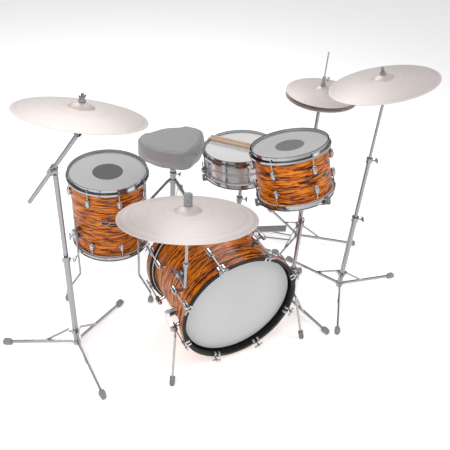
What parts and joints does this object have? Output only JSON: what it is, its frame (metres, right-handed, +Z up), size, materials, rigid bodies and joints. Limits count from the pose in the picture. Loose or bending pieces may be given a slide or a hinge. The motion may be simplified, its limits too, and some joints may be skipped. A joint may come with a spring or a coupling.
{
  "type": "drum kit",
  "caption": "Acoustic drum kit with orange wrapped bass drum, tom and floor tom, metal snare, hi-hat, stand-mounted cymbals and a padded throne on tripod stands.",
  "frame": {"origin": "bottom centre of the whole kit, at floor level", "axes": "+X across the kit to the viewer's right, +Y from the front head towards the player, +Z up"},
  "size_m": [2.0131, 1.6538, 1.2641],
  "materials": {
    "wrap": "orange rippled wrap, glossy",
    "hoop_wood": "black lacquer with an orange inlay",
    "head": "coated film",
    "white_head": "coated film",
    "chrome": "polished",
    "steel": "satin plated tube",
    "snare_metal": "plated shell",
    "bronze": "lathed pale bronze",
    "rubber": "moulded",
    "vinyl": "soft upholstery",
    "stick_wood": "bare maple",
    "frame_black": "satin paint"
  },
  "bodies": {
    "bass_drum_and_floor_stands": {"bass_drum_shell": "wrap", "bass_drum_hoops": "hoop_wood", "bass_drum_heads": "head", "bass_drum_lugs": "chrome", "bass_drum_claws": "chrome", "bass_drum_brackets": "chrome", "pedal_frame": "steel", "floor_tom_legs": "steel", "tom_stand_tripod": "steel", "snare_stand_tripod": "steel", "hihat_tripod": "steel", "ride_tripod": "steel", "boom_tripod": "steel", "throne_tripod": "steel", "rubber_feet": "rubber"},
    "spur_left": {"spur_left": "steel"},
    "spur_right": {"spur_right": "steel"},
    "pedal_footboard": {"pedal_footboard": "steel"},
    "pedal_beater": {"pedal_beater": "steel"},
    "holder_rod": {"holder_rod": "steel"},
    "centre_tilter": {"centre_tilter": "chrome"},
    "centre_cymbal": {"centre_cymbal": "bronze"},
    "floor_tom": {"floor_tom_shell": "wrap", "floor_tom_hoops": "chrome", "floor_tom_heads": "head", "floor_tom_lugs": "chrome", "floor_tom_leg_brackets": "chrome"},
    "tom_post": {"tom_stand_post": "steel"},
    "tom": {"tom_basket": "steel", "tom_shell": "wrap", "tom_hoops": "chrome", "tom_heads": "head", "tom_lugs": "chrome"},
    "snare_post": {"snare_stand_post": "steel"},
    "snare": {"snare_basket": "steel", "snare_shell": "snare_metal", "snare_hoops": "chrome", "snare_heads": "white_head", "snare_lugs": "chrome", "snare_strainer": "chrome", "snare_wires": "steel"},
    "snare_lever": {"snare_lever": "chrome"},
    "hihat_footboard": {"hihat_footboard": "steel"},
    "hihat_upper_tube": {"hihat_upper_tube": "steel"},
    "hihat_rod": {"hihat_rod": "steel"},
    "hihat_top_cymbal": {"hihat_top_cymbal": "bronze"},
    "hihat_bottom_cymbal": {"hihat_bottom_cymbal": "bronze"},
    "ride_middle_tube": {"ride_middle_tube": "steel"},
    "ride_top_tube": {"ride_top_tube": "steel"},
    "ride_tilter": {"ride_tilter": "chrome"},
    "ride_cymbal": {"ride_cymbal": "bronze"},
    "boom_middle_tube": {"boom_middle_tube": "steel"},
    "boom_clamp": {"boom_clamp": "steel"},
    "boom_arm": {"boom_arm": "steel"},
    "boom_tilter": {"boom_tilter": "chrome"},
    "boom_cymbal": {"boom_cymbal": "bronze"},
    "throne_post": {"throne_post": "steel"},
    "throne_seat": {"throne_seat_base": "frame_black", "throne_seat": "vinyl"},
    "sticks": {"sticks": "stick_wood"}
  },
  "joints": [
    {"name": "spur_left_fold", "type": "hinge", "parent": "bass_drum_and_floor_stands", "child": "spur_left", "pos_m": [-0.32732, -0.42622, 0.25023], "axis": [-0.9848, 0, -0.1736], "range_deg": [0, 90]},
    {"name": "spur_right_fold", "type": "hinge", "parent": "bass_drum_and_floor_stands", "child": "spur_right", "pos_m": [0.22023, -0.42622, 0.25023], "axis": [-0.9848, 0, 0.1736], "range_deg": [0, 90]},
    {"name": "pedal_press", "type": "hinge", "parent": "bass_drum_and_floor_stands", "child": "pedal_footboard", "pos_m": [-0.05355, 0.16578, 0.022], "axis": [1, 0, 0], "range_deg": [0, 8], "stiffness_Nm_per_rad": 25, "springref_deg": -6.88},
    {"name": "pedal_beater_swing", "type": "hinge", "parent": "bass_drum_and_floor_stands", "child": "pedal_beater", "pos_m": [-0.05355, -0.11622, 0.17], "axis": [1, 0, 0], "range_deg": [0, 52]},
    {"name": "holder_turn", "type": "hinge", "parent": "bass_drum_and_floor_stands", "child": "holder_rod", "pos_m": [-0.28127, -0.41522, 0.45795], "axis": [-0.2289, -0.9289, 0.2911], "range_deg": [-12, 12]},
    {"name": "centre_cymbal_tilt", "type": "hinge", "parent": "holder_rod", "child": "centre_tilter", "pos_m": [-0.33261, -0.59683, 0.81738], "axis": [-0.9335, 0.3586, 0.0011], "range_deg": [-15, 15]},
    {"name": "centre_cymbal_spin", "type": "hinge", "parent": "centre_tilter", "child": "centre_cymbal", "pos_m": [-0.32655, -0.58122, 0.875], "axis": [0.101, 0.2601, 0.9603], "continuous": true},
    {"name": "floor_tom_height", "type": "slide", "parent": "bass_drum_and_floor_stands", "child": "floor_tom", "axis": [0, 0, 1], "range_m": [-0.08, 0.06]},
    {"name": "tom_height", "type": "slide", "parent": "bass_drum_and_floor_stands", "child": "tom_post", "axis": [0, 0, 1], "range_m": [-0.06, 0.06]},
    {"name": "tom_tilt", "type": "hinge", "parent": "tom_post", "child": "tom", "pos_m": [0.35145, -0.37422, 0.535], "axis": [-0.9764, -0.2158, 0], "range_deg": [-10, 10]},
    {"name": "snare_height", "type": "slide", "parent": "bass_drum_and_floor_stands", "child": "snare_post", "axis": [0, 0, 1], "range_m": [-0.05, 0.06]},
    {"name": "snare_tilt", "type": "hinge", "parent": "snare_post", "child": "snare", "pos_m": [0.31755, 0.14123, 0.4254], "axis": [-0.7719, -0.6357, 0], "range_deg": [-10, 10]},
    {"name": "snare_lever_throw", "type": "hinge", "parent": "snare", "child": "snare_lever", "pos_m": [0.11143, 0.18554, 0.53437], "axis": [-0.1732, -0.9823, 0.0718], "range_deg": [0, 80]},
    {"name": "sticks_lift", "type": "slide", "parent": "snare", "child": "sticks", "axis": [-0.07, 0.085, 0.9939], "range_m": [0, 0.25]},
    {"name": "hihat_height", "type": "slide", "parent": "bass_drum_and_floor_stands", "child": "hihat_upper_tube", "axis": [0, 0, 1], "range_m": [-0.05, 0.05]},
    {"name": "hihat_pull", "type": "slide", "parent": "hihat_upper_tube", "child": "hihat_rod", "axis": [0, 0, 1], "range_m": [-0.02, 0], "stiffness_N_per_m": 1000, "springref_m": 0.03},
    {"name": "hihat_pedal", "type": "hinge", "parent": "bass_drum_and_floor_stands", "child": "hihat_footboard", "pos_m": [0.45254, 0.2319, 0.02], "axis": [0.6004, 0.7997, 0], "range_deg": [0, 5.5]},
    {"name": "hihat_top_spin", "type": "hinge", "parent": "hihat_rod", "child": "hihat_top_cymbal", "pos_m": [0.68445, 0.05778, 0.931], "axis": [0, 0, 1], "continuous": true},
    {"name": "hihat_bottom_spin", "type": "hinge", "parent": "hihat_upper_tube", "child": "hihat_bottom_cymbal", "pos_m": [0.68445, 0.05778, 0.906], "axis": [0, 0, 1], "continuous": true},
    {"name": "ride_lower_height", "type": "slide", "parent": "bass_drum_and_floor_stands", "child": "ride_middle_tube", "axis": [0, 0, 1], "range_m": [-0.06, 0.06]},
    {"name": "ride_upper_height", "type": "slide", "parent": "ride_middle_tube", "child": "ride_top_tube", "axis": [0, 0, 1], "range_m": [-0.06, 0.06]},
    {"name": "ride_tilt", "type": "hinge", "parent": "ride_top_tube", "child": "ride_tilter", "pos_m": [0.66445, -0.38822, 1.10042], "axis": [-0.7281, -0.6855, 0], "range_deg": [-18, 18]},
    {"name": "ride_cymbal_spin", "type": "hinge", "parent": "ride_tilter", "child": "ride_cymbal", "pos_m": [0.65288, -0.37593, 1.158], "axis": [-0.1929, 0.2049, 0.9596], "continuous": true},
    {"name": "boom_height", "type": "slide", "parent": "bass_drum_and_floor_stands", "child": "boom_middle_tube", "axis": [0, 0, 1], "range_m": [-0.06, 0.06]},
    {"name": "boom_tilt", "type": "hinge", "parent": "boom_middle_tube", "child": "boom_clamp", "pos_m": [-0.71189, -0.23847, 0.962], "axis": [-0.5967, -0.8024, 0], "range_deg": [-18, 18]},
    {"name": "boom_slide", "type": "slide", "parent": "boom_clamp", "child": "boom_arm", "axis": [0.4522, -0.3363, 0.8261], "range_m": [-0.04, 0.04]},
    {"name": "boom_cymbal_tilt", "type": "hinge", "parent": "boom_arm", "child": "boom_tilter", "pos_m": [-0.61667, -0.30928, 1.13594], "axis": [-0.8295, -0.499, 0.2509], "range_deg": [-15, 15]},
    {"name": "boom_cymbal_spin", "type": "hinge", "parent": "boom_tilter", "child": "boom_cymbal", "pos_m": [-0.60455, -0.30022, 1.194], "axis": [0.2019, 0.151, 0.9677], "continuous": true},
    {"name": "throne_height", "type": "slide", "parent": "bass_drum_and_floor_stands", "child": "throne_post", "axis": [0, 0, 1], "range_m": [0, 0.1]},
    {"name": "throne_swivel", "type": "hinge", "parent": "throne_post", "child": "throne_seat", "pos_m": [0.11145, 0.57178, 0.411], "axis": [0, 0, 1], "continuous": true}
  ],
  "couplings": [
    {"joint": "pedal_beater_swing", "follows": "pedal_press", "ratio": 6.45},
    {"joint": "hihat_pedal", "follows": "hihat_pull", "rad_per_m": -4.5}
  ]
}
